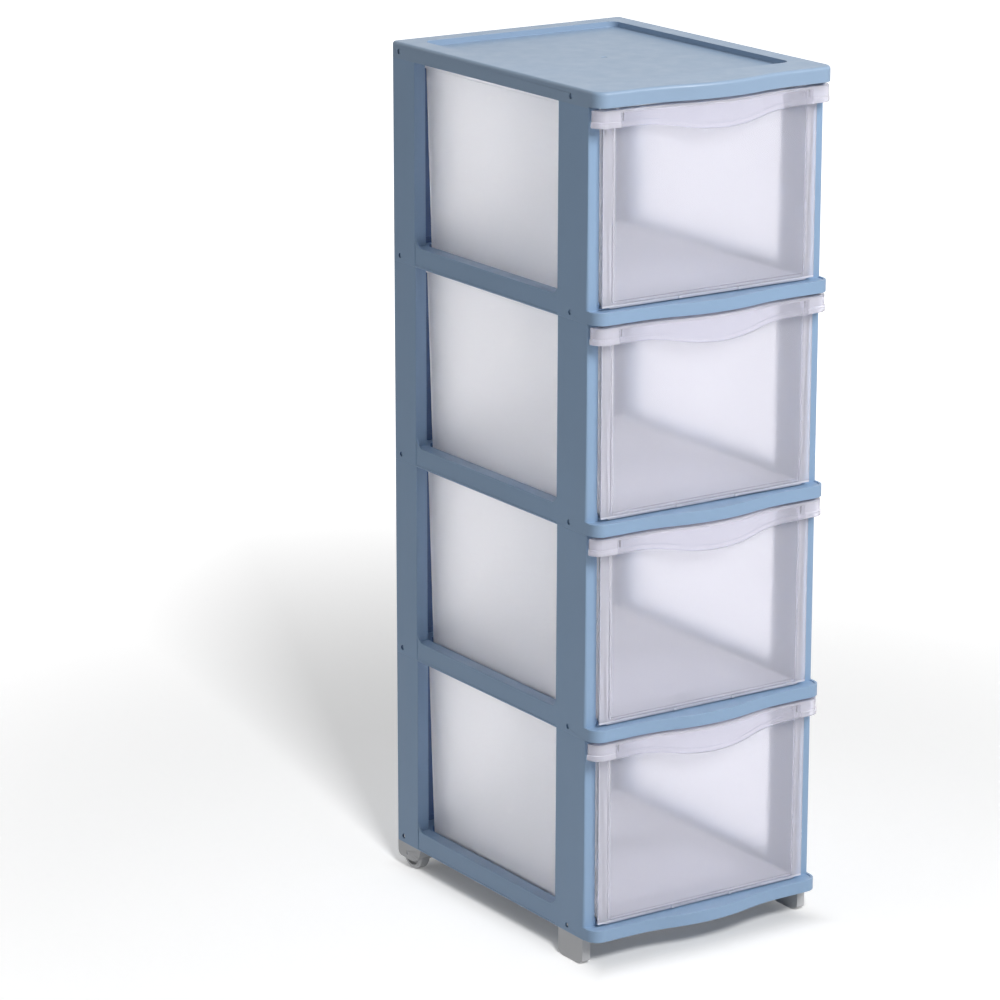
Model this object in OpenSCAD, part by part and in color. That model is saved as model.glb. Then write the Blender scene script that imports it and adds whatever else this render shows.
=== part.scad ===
// Plastic drawer tower: four stacked open-sided tier frames, a tray-topped lid,
// four see-through drawers with a full-width bowed grip, two glide feet at the
// front and two wheels at the back.
// Millimetres, Z up, the front faces -Y, origin at the bottom centre of the tower.

/* [Tower] */
// Height of one tier, from one seam to the next
tier_h = 200; // [160:5:240]
// Width across the sides of the frames
body_w = 268; // [250:2:310]
// Depth from the rear face to the face of the front posts
body_d = 333; // [290:1:400]
// How far the front lip stands ahead of the front posts
lip_d = 17; // [14:1:24]
// How far the middle of the front bows forward of its ends
bow = 10; // [6:1:16]
// Half of the width the bow takes
bow_half = 88; // [70:2:100]
// Height of the lid
lid_h = 16; // [14:1:20]
// Height of the feet below the bottom frame
foot_h = 27; // [26:1:32]

/* [Frames] */
// Height of the side rails
rail_h = 20; // [18:1:26]
// Height of the front lip
lip_h = 13; // [12:0.5:15]
// Length of a front post along the side
post_f = 48; // [42:1:70]
// Length of a rear post along the side
post_b = 40; // [38:1:60]
// How far the posts reach inwards
post_in = 13; // [12:0.5:16]
// Wall thickness of the frames and the lid
wall = 2.6; // [2.2:0.1:3]
// Draft on the sides over one tier
frame_draft = 0.8; // [0.3:0.1:1.2]
// Diameter of the snap holes
snap_d = 5; // [4:0.5:6]

/* [Drawers] */
// Wall thickness of the drawers
tub_wall = 2.2; // [1.8:0.1:2.6]
// How much the drawer narrows from rim to floor on each side
tub_draft = 4.6; // [2:0.2:5]
// Outer radius of the drawer's rear corners at the floor
tub_r = 7; // [7:1:20]
// Gap between the rear of a drawer and the rear face of the frame
tub_back = 30; // [28:1:50]
// Height of the grip at its two ends
grip_h = 16; // [13:1:20]
// How much deeper the grip hangs in the middle
grip_dip = 9.5; // [4:0.5:12]

/* [Feet and wheels] */
// Radius of the wheels
wheel_r = 17.5; // [14:0.5:18]
// Width of the wheels
wheel_w = 12.5; // [9:0.5:13]
// Radius of the axles
axle_r = 2; // [1.5:0.25:3]
// Length of a front foot
foot_l = 41; // [36:1:44]
// Thickness of a front foot
foot_t = 9; // [8:0.5:11]

/* [Hidden] */
w2 = body_w / 2;
depth = body_d + lip_d + bow;
back_y = depth / 2;                 // rear face
face_y = back_y - body_d;           // face of the front posts
lip_y = face_y - lip_d;             // straight ends of the front lip
corner_f = 13;                      // plan radius of the front corners
corner_b = 4;                       // plan radius of the rear corners
post_r = 3;                         // round on the front posts' outer edge
lip_rise = 1.2;                     // underside of the lip above the seam
bead_h = 1;                         // raised bead along the lip
run_z = lip_h + 0.4;                // top of the runners, floor of the drawers
rail_in = w2 - post_in - 1;         // inner face of the side rails
in_x = w2 - post_in;                // inner edge of the posts
fillet_r = 10;                      // round at the foot of the posts
recess = 0.6;                       // side rail set back between the posts
snap_z = 7;                         // snap hole above the seam
snap_fy = face_y + 28;              // front snap hole
snap_by = back_y - 13;              // rear snap hole
peg_d = snap_d - 1.2;
tongue_t = 2.2;
tongue_x = w2 - wall - 0.3 - tongue_t;
tongue_top = 11;
run_in = w2 - 46;                   // inner edge of the runners
beam = 34;                          // depth of the front and rear shelf beams

rim_x = in_x - 0.8;                 // drawer rim, between the posts
tub_tx = rim_x - 1.5;               // outside of the drawer at the rim
tub_bx = tub_tx - tub_draft;        // outside of the drawer at the floor
tub_ty = back_y - tub_back;
tub_by = tub_ty - tub_draft;
tub_top = tier_h - 2;
tub_h = tub_top - run_z;
cx = tub_bx - tub_r;                // centres of the rear corners
cy = tub_by - tub_r;
flange_y = face_y - 6;              // face of the drawer's front border
panel_y = flange_y - 1.5;           // face of the raised front panel
flange_z = run_z + 1.6;
front_top = tier_h - 1.5;
panel_x = in_x - 10;
grip_back = face_y - 4;
band_h = 5.5;

axle_z = wheel_r;
// as far back as the frame's rear wall and the rear of the tower allow
axle_y = back_y - max(wheel_r + 0.4,
  wall + 0.6 + sqrt(max(0, pow(wheel_r, 2) - pow(foot_h - axle_z, 2))));
axle_gap = 0.06;                    // running fit of a wheel on its axle
axle_seat = 0.02;                   // fit of an axle in its housing
wheel_x1 = tongue_x - 0.9;          // outer face of a wheel
wheel_x0 = wheel_x1 - wheel_w;
cheek_t = 2.4;
house_out = w2 - 1.2;
house_in = wheel_x0 - 1 - cheek_t;
house_y0 = axle_y - wheel_r - 7.5;
house_y1 = back_y - 0.6;
house_z = axle_z - 6.5;             // lower edge of the cheeks
cheek_r = foot_h + 2 - house_z;     // big round at their lower front
cheek_b = 6;                        // round at their lower rear
foot_out = w2 - 1.2;
foot_y1 = snap_fy + 16;
foot_y0 = foot_y1 - foot_l;

function tier_z(k) = foot_h + k * tier_h;

// Radius of the arcs of an S-shaped swell: two equal arcs on each side,
// one hollow and one full, meeting half way.
function arc_r(h, w) = (w * w / 4 + h * h / 4) / h;

// A swell that hangs h below the line y = 0 and is 2 w wide. d moves its
// edge inwards and up is how far it reaches above the line.
module swell(h, w, d, up) {
  r = arc_r(h, w);
  xj = round(5000 * w * (r - d) / r) / 10000;
  intersection() {
    translate([0, r - h]) circle(r = r - d, $fn = 128);
    translate([-xj, -h - 1]) square([2 * xj, h + 1 + up]);
  }
  for (s = [-1, 1]) difference() {
    translate([s > 0 ? xj : -w, -h]) square([w - xj, h + up]);
    translate([s * w, -r]) circle(r = r + d, $fn = 128);
    translate([s > 0 ? xj - 1 : -w, -h - 1]) square([w - xj + 1, 1 + h - (r - sqrt(r * r - w * w / 4)) - 2]);
  }
}

// Plan of the lid and the shelves, moved inwards by d.
module plan(d) {
  x = w2 - d;
  yb = back_y - d;
  yf = lip_y + d;
  rf = max(corner_f - d, 1);
  rb = max(corner_b - d, 1);
  polygon([[-x + rf, yf], [x - rf, yf], [x, yf + rf], [x, yb - rb],
    [x - rb, yb], [-x + rb, yb], [-x, yb - rb], [-x, yf + rf]]);
  for (s = [-1, 1]) {
    translate([s * (x - rf), yf + rf]) circle(r = rf, $fn = 64);
    translate([s * (x - rb), yb - rb]) circle(r = rb, $fn = 64);
  }
  translate([0, lip_y]) swell(bow, bow_half, d, d + 3);
}

module ring() {
  difference() {
    plan(0);
    plan(wall);
  }
}

// Everything in plan behind the face of the front posts, with the posts' corners.
module behind() {
  translate([-w2 + post_r, face_y]) square([body_w - 2 * post_r, body_d + 5]);
  translate([-w2, face_y + post_r]) square([body_w, body_d + 5]);
  for (s = [-1, 1]) translate([s * (w2 - post_r), face_y + post_r])
    circle(r = post_r, $fn = 48);
}

module box(x0, x1, y0, y1, z0, z1) {
  translate([x0, y0, z0]) cube([x1 - x0, y1 - y0, z1 - z0]);
}

// A box and its mirror image across the middle plane.
module boxes(x0, x1, y0, y1, z0, z1) {
  box(x0, x1, y0, y1, z0, z1);
  box(-x1, -x0, y0, y1, z0, z1);
}

// A rod along X.
module rod(x0, x1, y, z, r) {
  translate([x0, y, z]) rotate([0, 90, 0]) cylinder(r = r, h = x1 - x0, $fn = 48);
}

// Plan of a front post on the right: a channel open towards the drawer.
module front_post() {
  r = post_r;
  translate([in_x, face_y]) difference() {
    union() {
      square([post_in - r, post_f]);
      translate([0, r]) square([post_in, post_f - r]);
      translate([post_in - r, r]) circle(r = r, $fn = 48);
    }
    translate([-1, wall]) square([post_in - wall + 1, post_f - 2 * wall]);
  }
}

// Plan of a rear post on the right: side wall, rear wall and window return.
module rear_post() {
  intersection() {
    ring();
    translate([w2 - 34, back_y - post_b]) square([40, post_b + 5]);
  }
  translate([in_x, back_y - post_b]) square([post_in - 1, wall]);
}

// Round between a post and the top of the side rail, in the side wall.
module corner_web(y, s) {
  translate([w2 - wall, y, rail_h]) difference() {
    translate([0, s > 0 ? -0.5 : -fillet_r, -0.5])
      cube([wall, fillet_r + 0.5, fillet_r + 0.5]);
    translate([-1, s * fillet_r, fillet_r])
      rotate([0, 90, 0]) cylinder(r = fillet_r, h = wall + 2, $fn = 64);
  }
}

module frame_solid() {
  // skirt: low along the lip, full height along the rails and the rear
  linear_extrude(height = lip_h) ring();
  linear_extrude(height = rail_h) intersection() {
    ring();
    behind();
  }
  // floor of the lip
  translate([0, 0, lip_h - bead_h - wall]) linear_extrude(height = wall)
    difference() {
      plan(wall - 0.4);
      translate([-w2 - 5, face_y + 1]) square([body_w + 10, body_d]);
    }
  // wall behind the lip
  box(-rail_in - 1, rail_in + 1, face_y, face_y + wall, lip_rise, run_z);
  // side rails: inner wall and top ledge
  boxes(rail_in, rail_in + wall, face_y, back_y - 1, 0, rail_h);
  boxes(rail_in, w2 - 1.5, face_y + post_r, back_y - 2, rail_h - wall, rail_h);
  // runners, beams and the bar across the middle
  boxes(run_in, rail_in + 1, face_y, back_y - 1, run_z - wall, run_z);
  boxes(run_in, run_in + wall, face_y + 1, back_y - 1, 3, run_z - 1);
  box(-run_in - 1, run_in + 1, face_y, face_y + beam, run_z - wall, run_z);
  box(-run_in - 1, run_in + 1, face_y + beam - wall, face_y + beam, 3, run_z - 1);
  box(-run_in - 1, run_in + 1, back_y - beam, back_y - 1, run_z - wall, run_z);
  box(-run_in - 1, run_in + 1, back_y - beam, back_y - beam + wall, 3, run_z - 1);
  box(-run_in - 1, run_in + 1, face_y + body_d / 2 - 16, face_y + body_d / 2 + 16,
    run_z - wall, run_z);
  for (s = [-1, 1])
    translate([0, face_y + body_d / 2 + s * (16 - wall / 2), 0])
      box(-run_in - 1, run_in + 1, -wall / 2, wall / 2, 3, run_z - 1);
  // stops behind the drawer
  boxes(run_in + 6, run_in + 24, tub_by + 0.6, tub_by + 0.6 + wall, run_z - 1, run_z + 6);
  // stiffening ribs under the lip
  translate([0, 0, lip_rise + 2]) linear_extrude(height = lip_h - bead_h - lip_rise - 3)
    intersection() {
      plan(1);
      for (i = [-2:2])
        translate([i * 45 - 0.8, lip_y - bow - 1]) square([1.6, lip_d + bow + 2]);
    }
  // posts
  for (s = [0, 1]) mirror([s, 0, 0]) {
    linear_extrude(height = tier_h) {
      front_post();
      rear_post();
    }
    corner_web(face_y + post_f, 1);
    corner_web(back_y - post_b, -1);
    // plug tongues
    for (y = [[face_y + 8, face_y + post_f - 6], [back_y - 33, back_y - 6]]) {
      box(tongue_x, tongue_x + tongue_t, y[0], y[1], tier_h - 16, tier_h + tongue_top);
      box(tongue_x, w2 - wall + 0.2, y[0], y[1], tier_h - 16, tier_h);
    }
  }
}

// The drafted outside of a frame, seen from the front and from the side.
module envelope() {
  d = frame_draft;
  intersection() {
    rotate([90, 0, 0]) linear_extrude(height = 2 * depth, center = true)
      polygon([[-w2 + 0.8, 0], [w2 - 0.8, 0], [w2, 0.8], [w2, rail_h],
        [w2 - d, tier_h], [w2 - d, tier_h + 20], [-w2 + d, tier_h + 20],
        [-w2 + d, tier_h], [-w2, rail_h], [-w2, 0.8]]);
    rotate([90, 0, 90]) linear_extrude(height = 2 * body_w, center = true)
      polygon([[-depth, 0], [back_y - 0.8, 0], [back_y, 0.8], [back_y, rail_h],
        [back_y - d, tier_h], [back_y - d, tier_h + 20], [-depth, tier_h + 20]]);
  }
}

module frame() {
  color([0.45, 0.56, 0.70]) {
    difference() {
      intersection() {
        frame_solid();
        envelope();
      }
      // underside of the lip
      box(-w2 - 1, w2 + 1, lip_y - bow - 1, face_y, -1, lip_rise);
      for (s = [0, 1]) mirror([s, 0, 0]) {
        // side rail set back between the posts
        box(w2 - recess, w2 + 1, face_y + post_f, back_y - post_b, 2, rail_h + fillet_r + 2);
        // snap holes
        rod(w2 - wall - 1, w2 + 1, snap_fy, snap_z, snap_d / 2);
        rod(w2 - wall - 1, w2 + 1, snap_by, snap_z, snap_d / 2);
        // room for the wheel under the runner
        box(rail_in - 1, rail_in + wall + 1, house_y0 - 1, back_y - wall,
          -1, run_z - wall - 0.6);
      }
    }
    for (s = [0, 1]) mirror([s, 0, 0]) for (y = [snap_fy, snap_by])
      rod(tongue_x + 1, w2 - 1.2, y, tier_h + snap_z, peg_d / 2);
  }
}

// Half of the drawer's cross-section about a corner centre: drafted wall and
// rounded floor edge, d inside the outer face.
module half_profile(d) {
  e = d > 0 ? 2.2 : 3.4;
  top = d > 0 ? tub_h + 1 : tub_h;
  r = tub_r - d;
  polygon([[0, d], [r - e, d], [r, d + e],
    [r + (top - d - e) * tub_draft / tub_h, top], [0, top]]);
  translate([r - e, d + e]) circle(r = e, $fn = 64);
}

// The drafted tub, d inside its outer face, running forward to y0.
module tub(d, y0) {
  top = d > 0 ? tub_h + 1 : tub_h;
  translate([0, cy, run_z]) rotate([90, 0, 0]) linear_extrude(height = cy - y0) {
    translate([cx, 0]) half_profile(d);
    mirror([1, 0]) translate([cx, 0]) half_profile(d);
    translate([-cx - 1, d]) square([2 * cx + 2, top - d]);
  }
  translate([-cx, cy, run_z]) rotate([90, 0, 90]) linear_extrude(height = 2 * cx)
    union() {
      half_profile(d);
      translate([-5, d]) square([6, top - d]);
    }
  for (s = [-1, 1]) translate([s * cx, cy, run_z])
    rotate_extrude($fn = 96) half_profile(d);
}

// Plan of the drawer's rim.
module rim_plan() {
  r = tub_r + tub_draft + 1.5;
  translate([-rim_x, flange_y + 0.5]) square([2 * rim_x, cy - flange_y - 0.5]);
  translate([-cx, cy - 1]) square([2 * cx, r + 1]);
  for (s = [-1, 1]) translate([s * cx, cy]) circle(r = r, $fn = 96);
}

// Front view of the grip: level top, lower edge dipping in the middle.
module grip_view(x) {
  translate([-x, front_top - grip_h]) square([2 * x, grip_h]);
  translate([0, front_top - grip_h]) swell(grip_dip, bow_half + 6, 0, 2);
}

module grip_plan(d) {
  intersection() {
    plan(d);
    translate([-w2, lip_y - bow - 1]) square([body_w, grip_back - lip_y + bow + 1]);
  }
}

module panel_view(g, z1) {
  r = 4 - g / 2;
  translate([-panel_x + g + r, flange_z + 2.7 + g]) square([2 * (panel_x - g - r), 2 * r]);
  translate([-panel_x + g, flange_z + 2.7 + g + r])
    square([2 * (panel_x - g), z1 - flange_z - 2.7 - g - r]);
  for (s = [-1, 1]) translate([s * (panel_x - g - r), flange_z + 2.7 + g + r])
    circle(r = r, $fn = 48);
}

module drawer() {
  color([0.84, 0.85, 0.92, 0.6]) difference() {
    union() {
      tub(0, flange_y + 1);
      translate([0, 0, tub_top - 5]) linear_extrude(height = 5) rim_plan();
      // front border and the raised panel
      box(-in_x, in_x, flange_y, flange_y + tub_wall, flange_z, front_top);
      translate([0, panel_y + tub_wall, 0]) rotate([90, 0, 0])
        linear_extrude(height = tub_wall) panel_view(0, front_top);
      // two tabs on the lower edge
      for (s = [-1, 1])
        box(s * 34 - 1.5, s * 34 + 1.5, panel_y + 0.4, flange_y + 1, flange_z - 0.9, flange_z + 4);
      // grip
      intersection() {
        translate([0, 0, front_top - grip_h - grip_dip])
          linear_extrude(height = grip_h + grip_dip) grip_plan(1);
        translate([0, grip_back, 0]) rotate([90, 0, 0])
          linear_extrude(height = lip_d + bow) grip_view(w2 - 1);
      }
      // thicker band along the lower edge of the grip
      intersection() {
        translate([0, 0, front_top - grip_h - grip_dip])
          linear_extrude(height = grip_h + grip_dip) grip_plan(0.3);
        translate([0, grip_back, 0]) rotate([90, 0, 0])
          linear_extrude(height = lip_d + bow) difference() {
            grip_view(w2 - 0.3);
            translate([0, band_h]) grip_view(w2 + 1);
          }
      }
    }
    // inside of the tub and the hollow behind the raised panel
    tub(tub_wall, flange_y + tub_wall);
    translate([0, flange_y + tub_wall + 0.5, 0]) rotate([90, 0, 0])
      linear_extrude(height = flange_y + 0.5 - panel_y) intersection() {
        panel_view(tub_wall, tier_h + 1);
        translate([-w2, run_z + tub_wall + 2]) square([body_w, tier_h]);
      }
    // finger channel under the grip
    difference() {
      translate([0, 0, front_top - grip_h - grip_dip - 1])
        linear_extrude(height = grip_h + grip_dip + 1 - tub_wall) difference() {
          plan(1 + tub_wall);
          translate([-panel_x, panel_y]) square([2 * panel_x, 2 * depth]);
          translate([-w2, flange_y]) square([body_w, 2 * depth]);
        }
      for (s = [-1, 1])
        box(s * 105 - 0.8, s * 105 + 0.8, lip_y - bow, flange_y + 1,
          front_top - grip_h + 6, front_top);
    }
  }
}

module lid() {
  rim_s = 22;
  rim_f = 40;
  tray_d = 5.5;
  tx = w2 - rim_s;
  ty0 = lip_y + rim_f;
  ty1 = back_y - rim_s;
  floor_z = lid_h - tray_d;
  color([0.45, 0.56, 0.70]) difference() {
    union() {
      linear_extrude(height = lid_h) ring();
      translate([0, 0, lid_h - wall]) linear_extrude(height = wall) plan(1);
      linear_extrude(height = lid_h) difference() {
        tray(tx + wall, ty0 - wall, ty1 + wall, 12);
        translate([0, 0]) tray(tx, ty0, ty1, 9.5);
      }
      translate([0, 0, floor_z - wall]) linear_extrude(height = wall)
        tray(tx + 1, ty0 - 1, ty1 + 1, 10.5);
      // ribs under the tray
      for (i = [-1:1]) box(i * 60 - 0.8, i * 60 + 0.8, ty0 - 1, ty1 + 1, 2, floor_z - 1);
      for (i = [-1:1]) translate([0, (ty0 + ty1) / 2 + i * 80, 0])
        box(-tx - 1, tx + 1, -0.8, 0.8, 2, floor_z - 1);
    }
    // tray
    translate([0, 0, floor_z]) linear_extrude(height = tray_d + 1) tray(tx, ty0, ty1, 9.5);
    // moulding gate mark
    translate([0, (ty0 + ty1) / 2, floor_z - 0.6]) cylinder(r = 3, h = 2, $fn = 48);
    // underside of the lip
    box(-w2 - 1, w2 + 1, lip_y - bow - 1, face_y, -1, lip_rise);
    for (s = [0, 1]) mirror([s, 0, 0]) for (y = [snap_fy, snap_by])
      rod(w2 - wall - 1, w2 + 1, y, snap_z, snap_d / 2);
  }
}

module tray(x, y0, y1, r) {
  polygon([[-x + r, y0], [x - r, y0], [x, y0 + r], [x, y1 - r],
    [x - r, y1], [-x + r, y1], [-x, y1 - r], [-x, y0 + r]]);
  for (s = [-1, 1]) for (y = [y0 + r, y1 - r])
    translate([s * (x - r), y]) circle(r = r, $fn = 48);
}

// Tongue and button that plug into the bottom frame from below.
module plug(y, y0, y1) {
  box(tongue_x, tongue_x + tongue_t, y0, y1, foot_h - 6, foot_h + tongue_top);
  rod(tongue_x + 1, w2 - 1.2, y, foot_h + snap_z, peg_d / 2);
}

// Side view of a foot: flat in the middle, rounded up at both ends.
module foot_view(d) {
  fu = 5;
  fl = 13;
  bu = 4;
  bl = 9;
  rf = (fl * fl + fu * fu) / (2 * fu);
  rb = (bl * bl + bu * bu) / (2 * bu);
  difference() {
    translate([foot_y0 + d, d]) square([foot_l - 2 * d, foot_h - d + 1]);
    translate([foot_y0 - 1, -1]) difference() {
      square([fl + 1, fu + 1 + d]);
      translate([fl + 1, rf + 1]) circle(r = rf - d, $fn = 96);
    }
    translate([foot_y1 - bl, -1]) difference() {
      square([bl + 1, bu + 1 + d]);
      translate([0, rb + 1]) circle(r = rb - d, $fn = 96);
    }
  }
}

module foot() {
  color([0.62, 0.63, 0.66]) {
    difference() {
      translate([foot_out - foot_t, 0, 0]) rotate([90, 0, 90])
        linear_extrude(height = foot_t) foot_view(0);
      translate([foot_out - foot_t + 2, 0, 0]) rotate([90, 0, 90])
        linear_extrude(height = foot_t - 4.2) foot_view(2.2);
      box(0, w2 + 1, foot_y0 - 1, foot_y1 + 1, foot_h, foot_h + 5);
    }
    plug(snap_fy, snap_fy - 13, snap_fy + 12);
  }
}

// Side view of a wheel cheek: level below, with a big round at the front.
module cheek_view() {
  yc = house_y0 + cheek_r;
  intersection() {
    union() {
      translate([yc, house_z + cheek_r]) circle(r = cheek_r, $fn = 128);
      translate([yc, house_z]) square([house_y1 - cheek_b - yc, foot_h - house_z]);
      translate([yc, house_z + cheek_b]) square([house_y1 - yc, foot_h - house_z]);
      translate([house_y1 - cheek_b, house_z + cheek_b]) circle(r = cheek_b, $fn = 64);
    }
    translate([house_y0, house_z]) square([house_y1 - house_y0, foot_h - house_z]);
  }
}

// The cheek's outline from x0 to x1.
module cheek(x0, x1) {
  translate([x0, 0, 0]) rotate([90, 0, 90]) linear_extrude(height = x1 - x0) cheek_view();
}

module housing() {
  color([0.62, 0.63, 0.66]) difference() {
    union() {
      cheek(house_in, house_in + cheek_t);
      cheek(house_out - cheek_t, house_out);
      // wall between the cheeks ahead of the wheel
      intersection() {
        cheek(house_in, house_out);
        box(house_in, house_out, house_y0, axle_y - wheel_r - 2, 0, foot_h);
      }
      plug(snap_by, back_y - 33, back_y - 6);
    }
    rod(house_in - 1, house_out + 1, axle_y, axle_z, axle_r + axle_seat);
  }
}

module axle() {
  color([0.75, 0.76, 0.78]) rod(house_in - 0.6, house_out - 0.8, axle_y, axle_z, axle_r);
}

module wheel() {
  r = wheel_r;
  w = wheel_w;
  color([0.70, 0.71, 0.73])
    translate([wheel_x0, axle_y, axle_z]) rotate([0, 90, 0]) rotate_extrude($fn = 96)
      polygon([[axle_r + axle_gap, 0], [axle_r + 3, 0], [axle_r + 3, w / 2 - 1.4],
        [r - 4, w / 2 - 1.4], [r - 4, 0.6], [r - 1.2, 0.6], [r, 2], [r, w - 2],
        [r - 1.2, w - 0.6], [r - 4, w - 0.6], [r - 4, w / 2 + 1.4],
        [axle_r + 3, w / 2 + 1.4], [axle_r + 3, w], [axle_r + axle_gap, w]]);
}

module left() {
  mirror([1, 0, 0]) children();
}

translate([0, 0, tier_z(4)]) lid();
translate([0, 0, tier_z(0)]) frame();  // frame_1
translate([0, 0, tier_z(1)]) frame();  // frame_2
translate([0, 0, tier_z(2)]) frame();  // frame_3
translate([0, 0, tier_z(3)]) frame();  // frame_4
translate([0, 0, tier_z(0)]) drawer();  // drawer_1
translate([0, 0, tier_z(1)]) drawer();  // drawer_2
translate([0, 0, tier_z(2)]) drawer();  // drawer_3
translate([0, 0, tier_z(3)]) drawer();  // drawer_4
left() foot();  // foot_left
foot();  // foot_right
left() housing();  // housing_left
housing();  // housing_right
left() wheel();  // wheel_left
wheel();  // wheel_right
left() axle();  // axle_left
axle();  // axle_right
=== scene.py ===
"""Looks of a plastic drawer tower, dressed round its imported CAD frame.

The frames, lid, drawers, feet, housings, wheels and axles are the CAD nodes.
Live modifiers merge their loose triangles, round their moulded edges and roll
the lid's top edge. Eight bars that widen the rear posts are made here. Node
materials give satin polypropylene, frosted see-through polypropylene and drawn
steel wire. Units are metres, Z is up and the drawers pull out along -Y.
"""

from math import radians

import bpy
import numpy as np
from bpy.props import FloatProperty, FloatVectorProperty, PointerProperty
from bpy.types import Operator, Panel, PropertyGroup
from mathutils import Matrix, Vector


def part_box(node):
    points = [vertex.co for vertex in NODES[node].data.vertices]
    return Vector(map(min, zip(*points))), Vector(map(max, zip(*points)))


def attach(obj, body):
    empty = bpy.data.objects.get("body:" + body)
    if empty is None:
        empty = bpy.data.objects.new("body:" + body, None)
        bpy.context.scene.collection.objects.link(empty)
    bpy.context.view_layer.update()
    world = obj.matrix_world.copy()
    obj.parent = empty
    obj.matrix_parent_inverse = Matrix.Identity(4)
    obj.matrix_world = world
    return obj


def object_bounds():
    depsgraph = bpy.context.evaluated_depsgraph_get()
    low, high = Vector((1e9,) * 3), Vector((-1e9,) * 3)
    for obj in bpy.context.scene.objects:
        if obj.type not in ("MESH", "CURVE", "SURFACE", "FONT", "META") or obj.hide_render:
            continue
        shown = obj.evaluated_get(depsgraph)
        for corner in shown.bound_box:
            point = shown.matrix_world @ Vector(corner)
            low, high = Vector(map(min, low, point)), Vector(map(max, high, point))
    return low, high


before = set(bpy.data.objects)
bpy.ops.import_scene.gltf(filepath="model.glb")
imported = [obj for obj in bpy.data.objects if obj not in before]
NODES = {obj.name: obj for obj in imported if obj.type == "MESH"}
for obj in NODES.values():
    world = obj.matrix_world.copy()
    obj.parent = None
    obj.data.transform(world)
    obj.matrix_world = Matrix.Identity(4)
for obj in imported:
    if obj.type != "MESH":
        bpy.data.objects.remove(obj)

bl_info = {
    "name": "Plastic drawer tower",
    "version": (1, 0, 0),
    "blender": (4, 5, 0),
    "location": "View3D > Sidebar > Drawer tower",
    "description": "Finishes, studio and camera of a plastic drawer tower",
    "category": "Object",
}

CAD_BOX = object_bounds()
FRAMES = sorted(n for n in NODES if n.startswith("frame_"))
DRAWERS = sorted(n for n in NODES if n.startswith("drawer_"))
SIDES = ("left", "right")

# Modifiers of the CAD nodes.
WELD_REACH = 0.00001            # corners of loose triangles merge within this
FLAT_ANGLE = radians(0.6)       # faces within this angle are one flat face
SHARP_ANGLE = radians(38)       # an edge over this angle is rounded
ROUND_STEPS = 3                 # facets across a rounded edge
ROLL_STEPS = 5                  # facets across the lid's rolled edge
NORMAL_WEIGHT = 90

# The lid's top. Its top layer of points is the rolled edge, save for what lies inside
# a line round the tray, just outside the tray's own edge.
TOP_LAYER = 0.0001
TRAY_LINE = 0.020               # from the lid's sides and rear
TRAY_LINE_FRONT = -0.134        # where it crosses in front, along Y

# The bars that widen the rear posts.
RETURN_ROOT = 0.1003            # from the middle to the end inside the post
RETURN_AHEAD = (0.0034, 0.0012)  # from the rear to the front and the rear face
RETURN_ENDS = (0.0195, 0.0004)  # from the tier's bottom and from its top
RETURN_ROUND = 0.0006           # radius of the corners

# What the plastics and the steel are made of.
NOISE_BAND = (0.3, 0.7)         # the part of a noise's range that is used
SATIN_SWING = (-0.05, 0.07)     # of the satin round its roughness
BODY_SPREAD = 0.05              # share by which the satin plastics' colour varies
TINT_SPREAD = 0.012             # the same of the drawers' tints
STEEL_SPREAD = 0.08             # and of the steel
STEEL_ROUGHNESS = (0.24, 0.38)
SATIN_IOR = 1.49                # bends light as polypropylene does
DRAWER_IOR = 1.3                # less than that

# Painted shade on the rear posts' forward faces.
SHADE_AHEAD = 0.012             # it sets in this far before the drawers' rear
SHADE_DEPTH = 0.004             # and is full this far behind that
SHADE_FACING = (-0.85, -0.60)   # a normal's Y with full shade and with none
SHADE_COLOUR = (0.30, 0.36, 0.50)  # share of the plastic's red, green and blue

# Where a drawer's plastic changes.
FRONT_DEPTH = 0.024             # from the grip's face to the back of the front
FROST_DEPTH = 0.010             # from there to the fully frosted walls
SIDE_BORDER = (0.1082, 0.1094)  # from the middle to the front's milky sides
BORDER_DEPTH = (0.6, 1.0)       # share of the frosting at which those sides end
FLOOR_LAYER = (0.0030, 0.0042)  # height at which the milky floor ends
RIM_LAYER = (0.0030, 0.0020)    # from the top down to the milky rim
BORDER_SHARE = 0.3              # how milky sides and rim are beside the floor

# The studio.
FLOOR_DROP = 0.0002             # from the feet down to the floor
FLOOR_GREY = 0.80
GLOW_NEAR = 0.36                # the floor's glow near the tower
GLOW_REACH = (0.5, 1.9)         # distances between which it rises to 1
PAINTED_SHADE_UNDER = 0.26                # painted shade: how much less the glow is under the tower
PAINTED_SHADE_REACH = (-0.03, 0.02)     # from the tower's sides: full painted shade and none
GLOW_THROUGH = 0.88             # at least this much is seen through plastic
DIM_SECTOR = (-0.75, 0.15)      # a direction's Y with the dim and the full surround
FLOOR_LAMP_PLACE = (-1.05, -2.90, 2.60)
KEY_LAMP_PLACE = (0.70, -2.90, 2.95)
LAMP_AIM = (0, 0, 0.42)
SENSOR_WIDTH = 36
VIEW_END = 200


# --------------------------------------------------------------- settings


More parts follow.
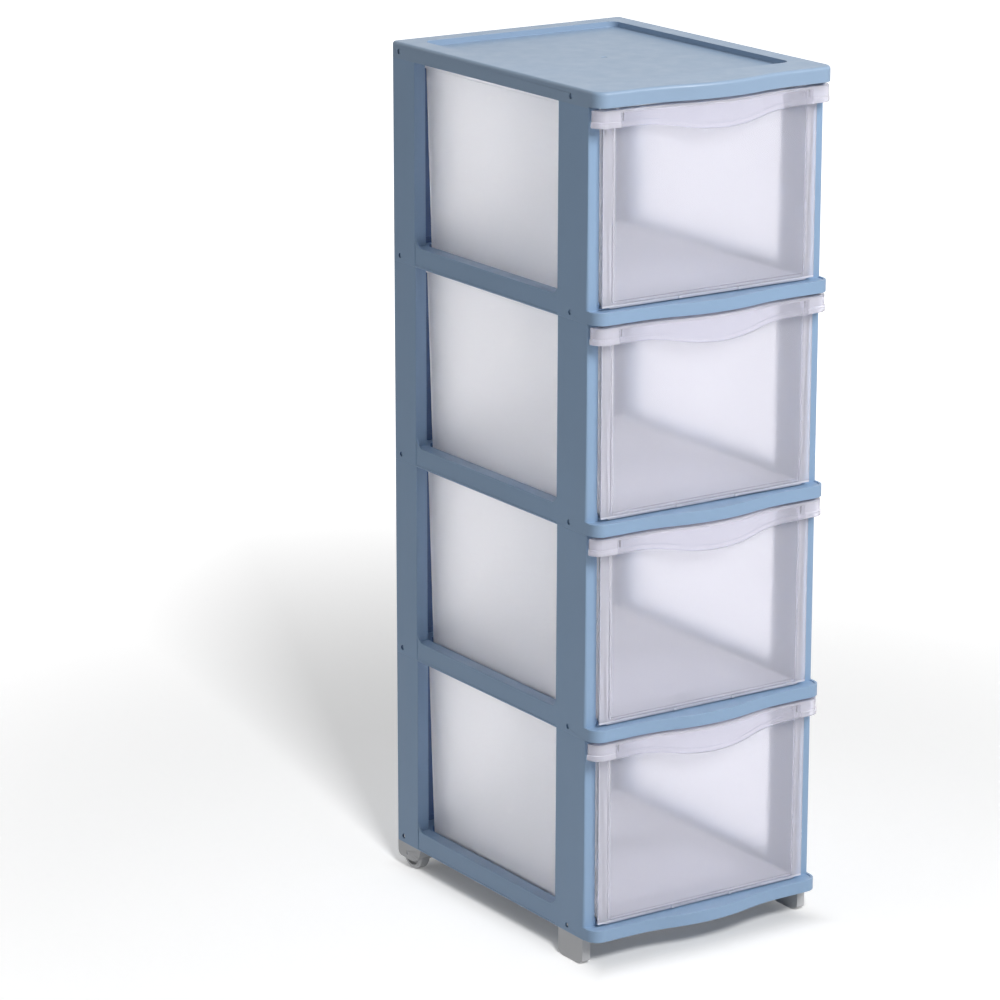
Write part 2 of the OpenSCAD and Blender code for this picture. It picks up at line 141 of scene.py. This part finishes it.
class TowerFinishes(PropertyGroup):
    """Colours and edges of the tower's plastics."""

    frame_colour: FloatVectorProperty(
        name="Frame colour", description="Blue-grey of the frames",
        subtype="COLOR", size=3, min=0, max=1, default=(0.255, 0.378, 0.548))
    lid_colour: FloatVectorProperty(
        name="Lid colour", description="Slightly greyer blue of the lid",
        subtype="COLOR", size=3, min=0, max=1, default=(0.268, 0.374, 0.518))
    frame_roughness: FloatProperty(
        name="Frame roughness", description="Satin of the frames and the lid",
        subtype="FACTOR", min=0, max=1, default=0.38)
    front_tint: FloatVectorProperty(
        name="Front tint", description="Tint of the drawers' fronts and grips",
        subtype="COLOR", size=3, min=0, max=1, default=(0.858, 0.852, 0.920))
    wall_tint: FloatVectorProperty(
        name="Wall tint", description="Tint of the drawers' walls and floor",
        subtype="COLOR", size=3, min=0, max=1, default=(0.950, 0.948, 0.965))
    front_roughness: FloatProperty(
        name="Front frosting", description="Blur through the front of a drawer",
        subtype="FACTOR", min=0, max=1, default=0.13)
    wall_roughness: FloatProperty(
        name="Wall frosting", description="Blur through a drawer's sides and floor",
        subtype="FACTOR", min=0, max=1, default=0.66)
    front_clear: FloatProperty(
        name="Front clearness",
        description="Share of light that passes the front unscattered",
        subtype="FACTOR", min=0, max=1, default=0.81)
    wall_clear: FloatProperty(
        name="Wall clearness",
        description="Share of light that passes the walls unscattered",
        subtype="FACTOR", min=0, max=1, default=0.90)
    floor_clear: FloatProperty(
        name="Floor clearness",
        description="How much of the walls' clearness is left in a drawer's thick floor",
        subtype="FACTOR", min=0, max=1, default=0.32)
    foot_colour: FloatVectorProperty(
        name="Foot colour", description="Grey of the feet and the wheel housings",
        subtype="COLOR", size=3, min=0, max=1, default=(0.55, 0.555, 0.57))
    foot_roughness: FloatProperty(
        name="Foot roughness", description="Satin of the feet and the wheel housings",
        subtype="FACTOR", min=0, max=1, default=0.42)
    wheel_colour: FloatVectorProperty(
        name="Wheel colour", description="Paler grey of the wheels",
        subtype="COLOR", size=3, min=0, max=1, default=(0.58, 0.585, 0.60))
    wheel_roughness: FloatProperty(
        name="Wheel roughness", description="Satin of the wheels",
        subtype="FACTOR", min=0, max=1, default=0.36)
    steel_colour: FloatVectorProperty(
        name="Steel colour", description="Colour of the wheels' axles",
        subtype="COLOR", size=3, min=0, max=1, default=(0.60, 0.61, 0.63))
    return_edge: FloatProperty(
        name="Rear post edge",
        description="From the middle to the rear posts' inner edge",
        subtype="DISTANCE", unit="LENGTH", min=0.05, max=0.099, default=0.079)
    edge_round: FloatProperty(
        name="Edge round", description="Radius of the moulded edges",
        subtype="DISTANCE", unit="LENGTH", min=0.0001, max=0.003, default=0.0003)
    drawer_round: FloatProperty(
        name="Drawer edge round", description="Radius of the drawers' moulded edges",
        subtype="DISTANCE", unit="LENGTH", min=0.0001, max=0.001, default=0.0005)
    foot_round: FloatProperty(
        name="Foot edge round", description="Radius of the feet's and housings' edges",
        subtype="DISTANCE", unit="LENGTH", min=0.0001, max=0.003, default=0.0004)
    lid_roll: FloatProperty(
        name="Lid roll", description="Radius of the lid's rolled top edge",
        subtype="DISTANCE", unit="LENGTH", min=0.0005, max=0.006, default=0.0032)


class TowerStudio(PropertyGroup):
    """Floor, lamps and camera."""

    camera_place: FloatVectorProperty(
        name="Camera place", description="Where the camera stands",
        subtype="TRANSLATION", unit="LENGTH", size=3, default=(-2.2239, -3.1722, 1.4923))
    camera_turn: FloatProperty(
        name="Camera turn", description="Turn of the camera about the upright axis",
        subtype="ANGLE", unit="ROTATION", default=radians(-33.458))
    camera_tip: FloatProperty(
        name="Camera tip", description="How far the camera looks down",
        subtype="ANGLE", unit="ROTATION", default=radians(15.678))
    camera_lens: FloatProperty(
        name="Focal length", description="Focal length on a 36 mm sensor, in mm",
        min=20, max=400, default=148.97)
    key_power: FloatProperty(
        name="Key lamp", description="Power of the lamp that lights the tower",
        unit="POWER", min=0, max=2000, default=146)
    key_size: FloatProperty(
        name="Key size", description="Width of the key lamp",
        subtype="DISTANCE", unit="LENGTH", min=0.1, max=5, default=1.8)
    floor_power: FloatProperty(
        name="Floor lamp", description="Power of the lamp that lights the floor",
        unit="POWER", min=0, max=2000, default=127)
    floor_lamp_size: FloatProperty(
        name="Floor lamp size", description="Width of the floor lamp",
        subtype="DISTANCE", unit="LENGTH", min=0.1, max=5, default=0.7)
    fill: FloatProperty(
        name="Surround", description="Light of the surroundings on matt surfaces",
        min=0, max=2, default=0.36)
    fill_front: FloatProperty(
        name="Surround in front", description="The same in front of the tower",
        min=0, max=2, default=0.10)
    floor_size: FloatProperty(
        name="Floor size", description="Half the width of the floor",
        subtype="DISTANCE", unit="LENGTH", min=5, max=100, default=40)


# ----------------------------------------------------------- node helpers


def new_material(name):
    """An empty node material with its output."""
    material = bpy.data.materials.new(name)
    material.use_nodes = True
    tree = material.node_tree
    tree.nodes.clear()
    return material, tree, tree.nodes.new("ShaderNodeOutputMaterial")


def put(tree, kind, **values):
    """A node with its settings (plain names) and sockets (names with a capital)."""
    node = tree.nodes.new("ShaderNode" + kind)
    for name, value in values.items():
        socket = name.replace("_", " ")
        if name[0].isupper():
            if isinstance(value, bpy.types.NodeSocket):
                tree.links.new(value, node.inputs[socket])
            else:
                node.inputs[socket].default_value = value
        else:
            setattr(node, name, value)
    return node


def scaled(tree, vector, stretch):
    """Coordinates stretched by three factors."""
    node = put(tree, "Mapping", Vector=vector)
    node.inputs["Scale"].default_value = stretch
    return node.outputs["Vector"]


def remap(tree, value, low, high, to_low, to_high, kind="LINEAR"):
    """A value carried from one range to another, held at its ends."""
    node = put(tree, "MapRange", interpolation_type=kind, Value=value)
    for name, number in zip(("From Min", "From Max", "To Min", "To Max"),
                            (low, high, to_low, to_high)):
        node.inputs[name].default_value = number
    return node.outputs["Result"]


def maths(tree, operation, *values):
    """One operation on numbers or sockets."""
    node = put(tree, "Math", operation=operation)
    for socket, value in zip(node.inputs, values):
        if isinstance(value, bpy.types.NodeSocket):
            tree.links.new(value, socket)
        else:
            socket.default_value = value
    return node.outputs[0]


def noise(tree, vector, scale, detail=2.0, rough=0.5):
    """Noise at a scale per metre."""
    return put(tree, "TexNoise", Vector=vector, Scale=scale, Detail=detail,
               Roughness=rough).outputs["Fac"]


def blend(tree, value, low, high):
    """Two colours, or sockets with one, mixed by a 0 to 1 value. A Mix node's sockets
    6 and 7 and its output 2 are the ones of colours."""
    mix = put(tree, "Mix", data_type="RGBA")
    factor, first, second = (mix.inputs[k] for k in (0, 6, 7))
    tree.links.new(value, factor)
    for socket, colour in ((first, low), (second, high)):
        if isinstance(colour, bpy.types.NodeSocket):
            tree.links.new(colour, socket)
        else:
            socket.default_value = tuple(colour) + (1,)
    return mix.outputs[2]


def shaded(tree, colour, value, spread):
    """A colour that a 0 to 1 value makes a little darker or lighter."""
    low, high = ([min(c * k, 1) for c in colour] for k in (1 - spread, 1 + spread))
    return blend(tree, value, low, high)


# -------------------------------------------------------------- materials


def satin_plastic(name, colour, roughness, recess=None):
    """Moulded polypropylene: faint flow clouds in the colour, a fine spark-eroded
    grain in the surface and uneven satin where hands and cloths have been. Behind the
    place along Y that is given as the recess, faces that look forward have a painted
    shade, because hardly any light gets to them behind the drawers."""
    material, tree, out = new_material(name)
    place = put(tree, "TexCoord").outputs["Object"]
    clouds = noise(tree, place, scale=9, detail=3, rough=0.55)
    smear = noise(tree, scaled(tree, place, (1, 1, 0.35)), scale=55, detail=4, rough=0.6)
    grain = noise(tree, place, scale=2600, detail=2, rough=0.6)
    ripple = noise(tree, place, scale=38, detail=2, rough=0.4)
    bump = put(tree, "Bump", Strength=0.22, Distance=0.00008, Height=grain)
    wave = put(tree, "Bump", Strength=0.10, Distance=0.0006,
               Height=ripple, Normal=bump.outputs["Normal"])
    body = shaded(tree, colour, clouds, BODY_SPREAD)
    satin = [roughness + swing for swing in SATIN_SWING]
    if recess is not None:
        behind = remap(tree, put(tree, "SeparateXYZ", Vector=place).outputs["Y"],
                       recess, recess + SHADE_DEPTH, 0, 1)
        facing = put(tree, "SeparateXYZ", Vector=put(tree, "TexCoord").outputs["Normal"])
        forward = remap(tree, facing.outputs["Y"], *SHADE_FACING, 1, 0)
        # painted shade: the plastic's colour darkened on forward faces behind the drawers,
        # where hardly any light gets
        painted_shade_colour = [c * share for c, share in zip(colour, SHADE_COLOUR)]
        body = blend(tree, maths(tree, "MULTIPLY", behind, forward), body, painted_shade_colour)
    skin = put(tree, "BsdfPrincipled", Base_Color=body,
               Roughness=remap(tree, smear, *NOISE_BAND, *satin),
               IOR=SATIN_IOR, Normal=wave.outputs["Normal"])
    tree.links.new(skin.outputs["BSDF"], out.inputs["Surface"])
    return material


def frosted_plastic(looks, front, back, base, top, pitch):
    """See-through polypropylene. The front is polished and the walls behind it are
    frosted: blur, clearness and tint change between two places along Y. The rest of
    the light is scattered in the plastic, most of all in the thick floor, at the sides
    of the front and along the rim. The height in a drawer is the remainder of the
    height over the tiers' pitch."""
    material, tree, out = new_material("frosted see-through plastic")
    place = put(tree, "TexCoord").outputs["Object"]
    axes = put(tree, "SeparateXYZ", Vector=place).outputs
    depth = remap(tree, axes["Y"], front, back, 0, 1, "SMOOTHSTEP")
    blur = remap(tree, depth, 0, 1, looks.front_roughness, looks.wall_roughness)
    clear = remap(tree, depth, 0, 1, looks.front_clear, looks.wall_clear)
    wide = remap(tree, maths(tree, "ABSOLUTE", axes["X"]), *SIDE_BORDER, 0, 1)
    raised = maths(tree, "SUBTRACT", axes["Z"], base)
    height = maths(tree, "FLOORED_MODULO", raised, pitch)
    thick = remap(tree, height, *FLOOR_LAYER, 1, 0)
    rim = remap(tree, height, top - RIM_LAYER[0], top - RIM_LAYER[1], 0, 1)
    border = maths(tree, "MULTIPLY", wide, remap(tree, depth, *BORDER_DEPTH, 1, 0))
    edge = maths(tree, "MULTIPLY", maths(tree, "MAXIMUM", border, rim), BORDER_SHARE)
    milky = maths(tree, "MAXIMUM", thick, edge)
    clear = maths(tree, "MULTIPLY", clear, remap(tree, milky, 0, 1, 1, looks.floor_clear))
    flow = noise(tree, scaled(tree, place, (1, 1, 0.5)), scale=16, detail=3, rough=0.5)
    tint = blend(tree, depth, shaded(tree, looks.front_tint, flow, TINT_SPREAD),
                 shaded(tree, looks.wall_tint, flow, TINT_SPREAD))
    grain = noise(tree, place, scale=1500, detail=2, rough=0.5)
    bump = put(tree, "Bump", Strength=0.10, Distance=0.00006, Height=grain)
    wall = put(tree, "BsdfPrincipled", Base_Color=tint, Roughness=blur,
               IOR=DRAWER_IOR, Transmission_Weight=clear, Normal=bump.outputs["Normal"])
    tree.links.new(wall.outputs["BSDF"], out.inputs["Surface"])
    return material


def drawn_steel(colour):
    """Cold drawn wire: fine lines along the axle."""
    material, tree, out = new_material("drawn steel wire")
    place = put(tree, "TexCoord").outputs["Object"]
    along = scaled(tree, place, (0.05, 1, 1))
    lines = noise(tree, along, scale=4000, detail=2, rough=0.6)
    bump = put(tree, "Bump", Strength=0.2, Distance=0.00005, Height=lines)
    steel = put(tree, "BsdfPrincipled",
                Base_Color=shaded(tree, colour, lines, STEEL_SPREAD),
                Roughness=remap(tree, lines, *NOISE_BAND, *STEEL_ROUGHNESS),
                Metallic=1.0, Normal=bump.outputs["Normal"])
    tree.links.new(steel.outputs["BSDF"], out.inputs["Surface"])
    return material


# ------------------------------------------------------------------ edges


def dress(name, material, radius, roll=0.0, rolled=None, smooth=True):
    """Gives a CAD node its material and moulded edges. Live modifiers merge its loose
    triangles, roll the edges between the chosen points with the larger radius and
    round every sharp edge. The group of chosen points is then dropped, as the bevel
    carries its weights past their range. Normals are weighed by area, except on a
    see-through piece, where a bent normal would bend the light."""
    piece = NODES[name]
    piece.data.materials.clear()
    piece.data.materials.append(material)
    for face in piece.data.polygons:
        face.use_smooth = smooth
    weld = piece.modifiers.new("Weld", "WELD")
    weld.merge_threshold = WELD_REACH
    if rolled is not None:
        flats = piece.modifiers.new("Join flats", "DECIMATE")
        flats.decimate_type = "DISSOLVE"
        flats.angle_limit = FLAT_ANGLE
        group = piece.vertex_groups.new(name="rolled edge")
        group.add(np.flatnonzero(rolled).tolist(), 1.0, "REPLACE")
        roll_edge = piece.modifiers.new("Roll", "BEVEL")
        roll_edge.width = roll
        roll_edge.segments = ROLL_STEPS
        roll_edge.limit_method = "VGROUP"
        roll_edge.vertex_group = group.name
    edge = piece.modifiers.new("Round", "BEVEL")
    edge.width = radius
    edge.segments = ROUND_STEPS
    edge.limit_method = "ANGLE"
    edge.angle_limit = SHARP_ANGLE
    edge.use_clamp_overlap = False
    edge.miter_outer = "MITER_ARC"
    if rolled is not None:
        spent = piece.modifiers.new("Drop the group", "VERTEX_WEIGHT_EDIT")
        spent.vertex_group = group.name
        spent.use_remove = True
        spent.remove_threshold = 1.0
    if smooth:
        normals = piece.modifiers.new("Normals", "WEIGHTED_NORMAL")
        normals.keep_sharp = False
        normals.weight = NORMAL_WEIGHT
    return piece


def points(name):
    """A node's vertices as an array."""
    mesh = NODES[name].data
    flat = np.empty(len(mesh.vertices) * 3, np.float32)
    mesh.vertices.foreach_get("co", flat)
    return flat.reshape(-1, 3)


# ----------------------------------------------------------------- pieces


def rounded_bar(name, material, low, high, radius):
    """An upright moulded bar. Its plan is a rectangle with round corners: a point at
    angle t is the corner of the inner rectangle in that quarter plus the radius times
    (cos t, sin t). The plan is carried up through eight levels, four near each end,
    with a from 90 degrees to 0: it lies at radius (1 - sin a) from the end and is taken
    in by radius (1 - cos a). One flat face closes each end."""
    steps = 24
    turn = (np.arange(steps) + 0.5) * 2 * np.pi / steps
    level = np.array([0, 1, 2, 3]) * np.pi / 6
    inset = radius * (1 - np.cos(level))[::-1]
    rise = radius * (1 - np.sin(level))[::-1]
    inset = np.concatenate((inset, inset[::-1]))
    z = np.concatenate((low[2] + rise, high[2] - rise[::-1]))
    mid = (np.array(low) + high) / 2
    half = (np.array(high) - low) / 2
    east, north = np.sign(np.cos(turn)), np.sign(np.sin(turn))
    x = mid[0] + east * (half[0] - radius) + np.outer(radius - inset, np.cos(turn))
    y = mid[1] + north * (half[1] - radius) + np.outer(radius - inset, np.sin(turn))
    at = np.stack((x, y, np.repeat(z[:, None], steps, 1)), 2).reshape(-1, 3)
    row = np.arange(steps)
    quads = [np.stack((k * steps + row, k * steps + (row + 1) % steps,
                       (k + 1) * steps + (row + 1) % steps, (k + 1) * steps + row), 1)
             for k in range(len(z) - 1)]
    last = (len(z) - 1) * steps
    faces = np.concatenate(quads).tolist() + [row[::-1].tolist(), (last + row).tolist()]
    mesh = bpy.data.meshes.new(name)
    mesh.from_pydata(at.tolist(), [], faces)
    mesh.materials.append(material)
    bar = bpy.data.objects.new(name, mesh)
    bpy.context.scene.collection.objects.link(bar)
    return bar


# -------------------------------------------------------------- operators


class DRAWERTOWER_OT_frames(Operator):
    """Finish the four frames and the lid in satin blue-grey plastic"""

    bl_idname = "drawer_tower.frames"
    bl_label = "Finish frames and lid"

    def execute(self, context):
        looks = context.scene.drawer_tower_finishes
        # the frames' material has a painted shade on forward faces behind the drawers'
        # rear
        blue = satin_plastic("blue-grey satin plastic", looks.frame_colour,
                             looks.frame_roughness,
                             recess=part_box(DRAWERS[0])[1].y - SHADE_AHEAD)
        for name in FRAMES:
            dress(name, blue, looks.edge_round)
        top = satin_plastic("blue-grey satin plastic of the lid", looks.lid_colour,
                            looks.frame_roughness)
        at = points("lid")
        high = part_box("lid")[1]
        inside = ((abs(at[:, 0]) < high.x - TRAY_LINE)
                  & (at[:, 1] < high.y - TRAY_LINE) & (at[:, 1] > TRAY_LINE_FRONT))
        rolled = (at[:, 2] > high.z - TOP_LAYER) & ~inside
        dress("lid", top, looks.edge_round, looks.lid_roll, rolled)
        return {"FINISHED"}


class DRAWERTOWER_OT_returns(Operator):
    """Widen the rear wall of each rear post towards the middle of the tower"""

    bl_idname = "drawer_tower.returns"
    bl_label = "Add rear post returns"

    def execute(self, context):
        looks = context.scene.drawer_tower_finishes
        # the frames' material, whose painted shade also darkens these bars' forward faces
        blue = bpy.data.materials["blue-grey satin plastic"]
        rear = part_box("frame_1")[1].y
        base = [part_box(name)[0].z for name in FRAMES] + [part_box("lid")[0].z]
        for name, bottom, top in zip(FRAMES, base, base[1:]):
            for side, sign in zip(SIDES, (-1, 1)):
                x = sorted((sign * looks.return_edge, sign * RETURN_ROOT))
                low = (x[0], rear - RETURN_AHEAD[0], bottom + RETURN_ENDS[0])
                high = (x[1], rear - RETURN_AHEAD[1], top - RETURN_ENDS[1])
                bar = rounded_bar(f"{name}_return_{side}", blue, low, high, RETURN_ROUND)
                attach(bar, "tower")
        return {"FINISHED"}


class DRAWERTOWER_OT_drawers(Operator):
    """Finish the four drawers in frosted see-through plastic"""

    bl_idname = "drawer_tower.drawers"
    bl_label = "Finish drawers"

    def execute(self, context):
        looks = context.scene.drawer_tower_finishes
        low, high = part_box(DRAWERS[0])
        front = low.y + FRONT_DEPTH
        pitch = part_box(DRAWERS[1])[0].z - low.z
        clear = frosted_plastic(looks, front, front + FROST_DEPTH, low.z,
                                high.z - low.z, pitch)
        for name in DRAWERS:
            dress(name, clear, looks.drawer_round, smooth=False)
        return {"FINISHED"}


class DRAWERTOWER_OT_feet(Operator):
    """Finish the front feet and the wheel housings in grey satin plastic"""

    bl_idname = "drawer_tower.feet"
    bl_label = "Finish feet and housings"

    def execute(self, context):
        looks = context.scene.drawer_tower_finishes
        grey = satin_plastic("grey satin plastic", looks.foot_colour,
                             looks.foot_roughness)
        for side in SIDES:
            dress("foot_" + side, grey, looks.foot_round)
            dress("housing_" + side, grey, looks.foot_round)
        return {"FINISHED"}


class DRAWERTOWER_OT_wheels(Operator):
    """Finish the rear wheels and their axles"""

    bl_idname = "drawer_tower.wheels"
    bl_label = "Finish wheels and axles"

    def execute(self, context):
        looks = context.scene.drawer_tower_finishes
        pale = satin_plastic("pale grey wheel plastic", looks.wheel_colour,
                             looks.wheel_roughness)
        steel = drawn_steel(looks.steel_colour)
        for side in SIDES:
            dress("wheel_" + side, pale, looks.edge_round)
            axle = NODES["axle_" + side].data
            axle.materials.clear()
            axle.materials.append(steel)
        return {"FINISHED"}


class DRAWERTOWER_OT_studio(Operator):
    """Lay the floor, set the light and place the camera"""

    bl_idname = "drawer_tower.studio"
    bl_label = "Set up the studio"

    def execute(self, context):
        studio = context.scene.drawer_tower_studio
        self.floor(studio)
        self.surround(context.scene, studio)
        self.lamps(context.scene, studio)
        self.camera(context.scene, studio)
        return {"FINISHED"}

    def floor(self, studio):
        """A flat floor just under the feet. Seen directly it has a glow of its own that
        rises with the distance from the tower, so that it is white all over where the
        lamps reach it and keeps the tower's soft shadow. Under the tower the glow is
        lowered, a painted shade that deepens the shadow there. Seen through the plastic
        the glow is nearly full everywhere."""
        half = studio.floor_size
        mesh = bpy.data.meshes.new("floor")
        corners = [(x * half, y * half, -FLOOR_DROP)
                   for x, y in ((-1, -1), (1, -1), (1, 1), (-1, 1))]
        mesh.from_pydata(corners, [], [(0, 1, 2, 3)])
        material, tree, out = new_material("white studio floor")
        ray = put(tree, "LightPath").outputs
        seen = maths(tree, "MAXIMUM", ray["Is Camera Ray"], ray["Is Transmission Ray"])
        place = put(tree, "TexCoord").outputs["Object"]
        apart = put(tree, "VectorMath", operation="LENGTH")
        tree.links.new(place, apart.inputs[0])
        glow = remap(tree, apart.outputs["Value"], *GLOW_REACH, GLOW_NEAR, 1,
                     "SMOOTHSTEP")
        axes = put(tree, "SeparateXYZ", Vector=place).outputs
        past = [maths(tree, "SUBTRACT", maths(tree, "ABSOLUTE", axes[axis]), edge)
                for axis, edge in zip("XY", CAD_BOX[1])]
        # painted shade: the floor's glow is lowered under the tower
        under = remap(tree, maths(tree, "MAXIMUM", *past), *PAINTED_SHADE_REACH, PAINTED_SHADE_UNDER, 0,
                      "SMOOTHSTEP")
        direct = maths(tree, "SUBTRACT", glow, under)
        through = maths(tree, "MULTIPLY", ray["Is Transmission Ray"], GLOW_THROUGH)
        level = maths(tree, "MULTIPLY", seen, maths(tree, "MAXIMUM", direct, through))
        matt = put(tree, "BsdfDiffuse", Color=(FLOOR_GREY, FLOOR_GREY, FLOOR_GREY, 1))
        light = put(tree, "Emission", Color=(1, 1, 1, 1), Strength=level)
        both = put(tree, "AddShader")
        tree.links.new(matt.outputs[0], both.inputs[0])
        tree.links.new(light.outputs[0], both.inputs[1])
        tree.links.new(both.outputs[0], out.inputs["Surface"])
        mesh.materials.append(material)
        floor = bpy.data.objects.new("floor", mesh)
        bpy.context.scene.collection.objects.link(floor)
        return floor

    def surround(self, scene, studio):
        """White all round where it is seen, mirrored or seen through. As light on matt
        surfaces it is dimmer, and less of it comes from the front than from the sides
        and the rear."""
        world = bpy.data.worlds.new("white surround")
        world.use_nodes = True
        tree = world.node_tree
        tree.nodes.clear()
        out = tree.nodes.new("ShaderNodeOutputWorld")
        ray = put(tree, "LightPath").outputs
        way = put(tree, "SeparateXYZ", Vector=put(tree, "TexCoord").outputs["Generated"])
        ahead = remap(tree, way.outputs["Y"], *DIM_SECTOR, studio.fill_front, studio.fill,
                      "SMOOTHSTEP")
        soft = put(tree, "Background", Color=(1, 1, 1, 1), Strength=ahead)
        white = put(tree, "Background", Color=(1, 1, 1, 1), Strength=1.0)
        bent = maths(tree, "MAXIMUM", ray["Is Glossy Ray"], ray["Is Transmission Ray"])
        seen = maths(tree, "MAXIMUM", ray["Is Camera Ray"], bent)
        mix = put(tree, "MixShader")
        tree.links.new(seen, mix.inputs[0])
        tree.links.new(soft.outputs[0], mix.inputs[1])
        tree.links.new(white.outputs[0], mix.inputs[2])
        tree.links.new(mix.outputs[0], out.inputs["Surface"])
        scene.world = world

    def lamps(self, scene, studio):
        """A wide soft lamp high at the right front lights the tower, and one lower at
        the left front lights the floor alone, where it throws the tower's shadow."""
        floor = bpy.data.collections.new("floor alone")
        floor.objects.link(bpy.data.objects["floor"])
        rest = bpy.data.collections.new("all but the floor")
        rest.objects.link(bpy.data.objects["floor"])
        rest.collection_objects[0].light_linking.link_state = "EXCLUDE"
        for name, size, power, place, lit in (
                ("floor lamp", studio.floor_lamp_size, studio.floor_power,
                 FLOOR_LAMP_PLACE, floor),
                ("key lamp", studio.key_size, studio.key_power, KEY_LAMP_PLACE, rest)):
            data = bpy.data.lights.new(name, "AREA")
            data.shape = "SQUARE"
            data.size = size
            data.energy = power
            lamp = bpy.data.objects.new(name, data)
            scene.collection.objects.link(lamp)
            lamp.light_linking.receiver_collection = lit
            lamp.location = place
            aim = Vector(LAMP_AIM) - lamp.location
            lamp.rotation_euler = aim.to_track_quat("-Z", "Y").to_euler()

    def camera(self, scene, studio):
        """The photograph's viewing angle."""
        data = bpy.data.cameras.new("camera")
        data.sensor_width = SENSOR_WIDTH
        data.lens = studio.camera_lens
        data.clip_end = VIEW_END
        camera = bpy.data.objects.new("camera", data)
        scene.collection.objects.link(camera)
        camera.location = studio.camera_place
        level = radians(90)
        camera.rotation_euler = (level - studio.camera_tip, 0, studio.camera_turn)
        scene.camera = camera
        scene.view_settings.view_transform = "Standard"


class DRAWERTOWER_PT_panel(Panel):
    """The tower's steps and settings"""

    bl_label = "Plastic drawer tower"
    bl_idname = "DRAWERTOWER_PT_panel"
    bl_space_type = "VIEW_3D"
    bl_region_type = "UI"
    bl_category = "Drawer tower"

    def draw(self, context):
        scene = context.scene
        for group in (scene.drawer_tower_finishes, scene.drawer_tower_studio):
            box = self.layout.box()
            for name in group.__annotations__:
                box.prop(group, name)
        for step in STEPS:
            self.layout.operator(step.bl_idname)


STEPS = (DRAWERTOWER_OT_studio, DRAWERTOWER_OT_frames, DRAWERTOWER_OT_returns,
         DRAWERTOWER_OT_drawers, DRAWERTOWER_OT_feet, DRAWERTOWER_OT_wheels)
CLASSES = (TowerFinishes, TowerStudio) + STEPS + (DRAWERTOWER_PT_panel,)


def register():
    for item in CLASSES:
        bpy.utils.register_class(item)
    bpy.types.Scene.drawer_tower_finishes = PointerProperty(type=TowerFinishes)
    bpy.types.Scene.drawer_tower_studio = PointerProperty(type=TowerStudio)


def unregister():
    del bpy.types.Scene.drawer_tower_studio
    del bpy.types.Scene.drawer_tower_finishes
    for item in reversed(CLASSES):
        bpy.utils.unregister_class(item)


def main():
    """Registers the add-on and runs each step."""
    register()
    bpy.ops.drawer_tower.studio()
    bpy.ops.drawer_tower.frames()
    bpy.ops.drawer_tower.returns()
    bpy.ops.drawer_tower.drawers()
    bpy.ops.drawer_tower.feet()
    bpy.ops.drawer_tower.wheels()


if __name__ == "__main__":
    main()
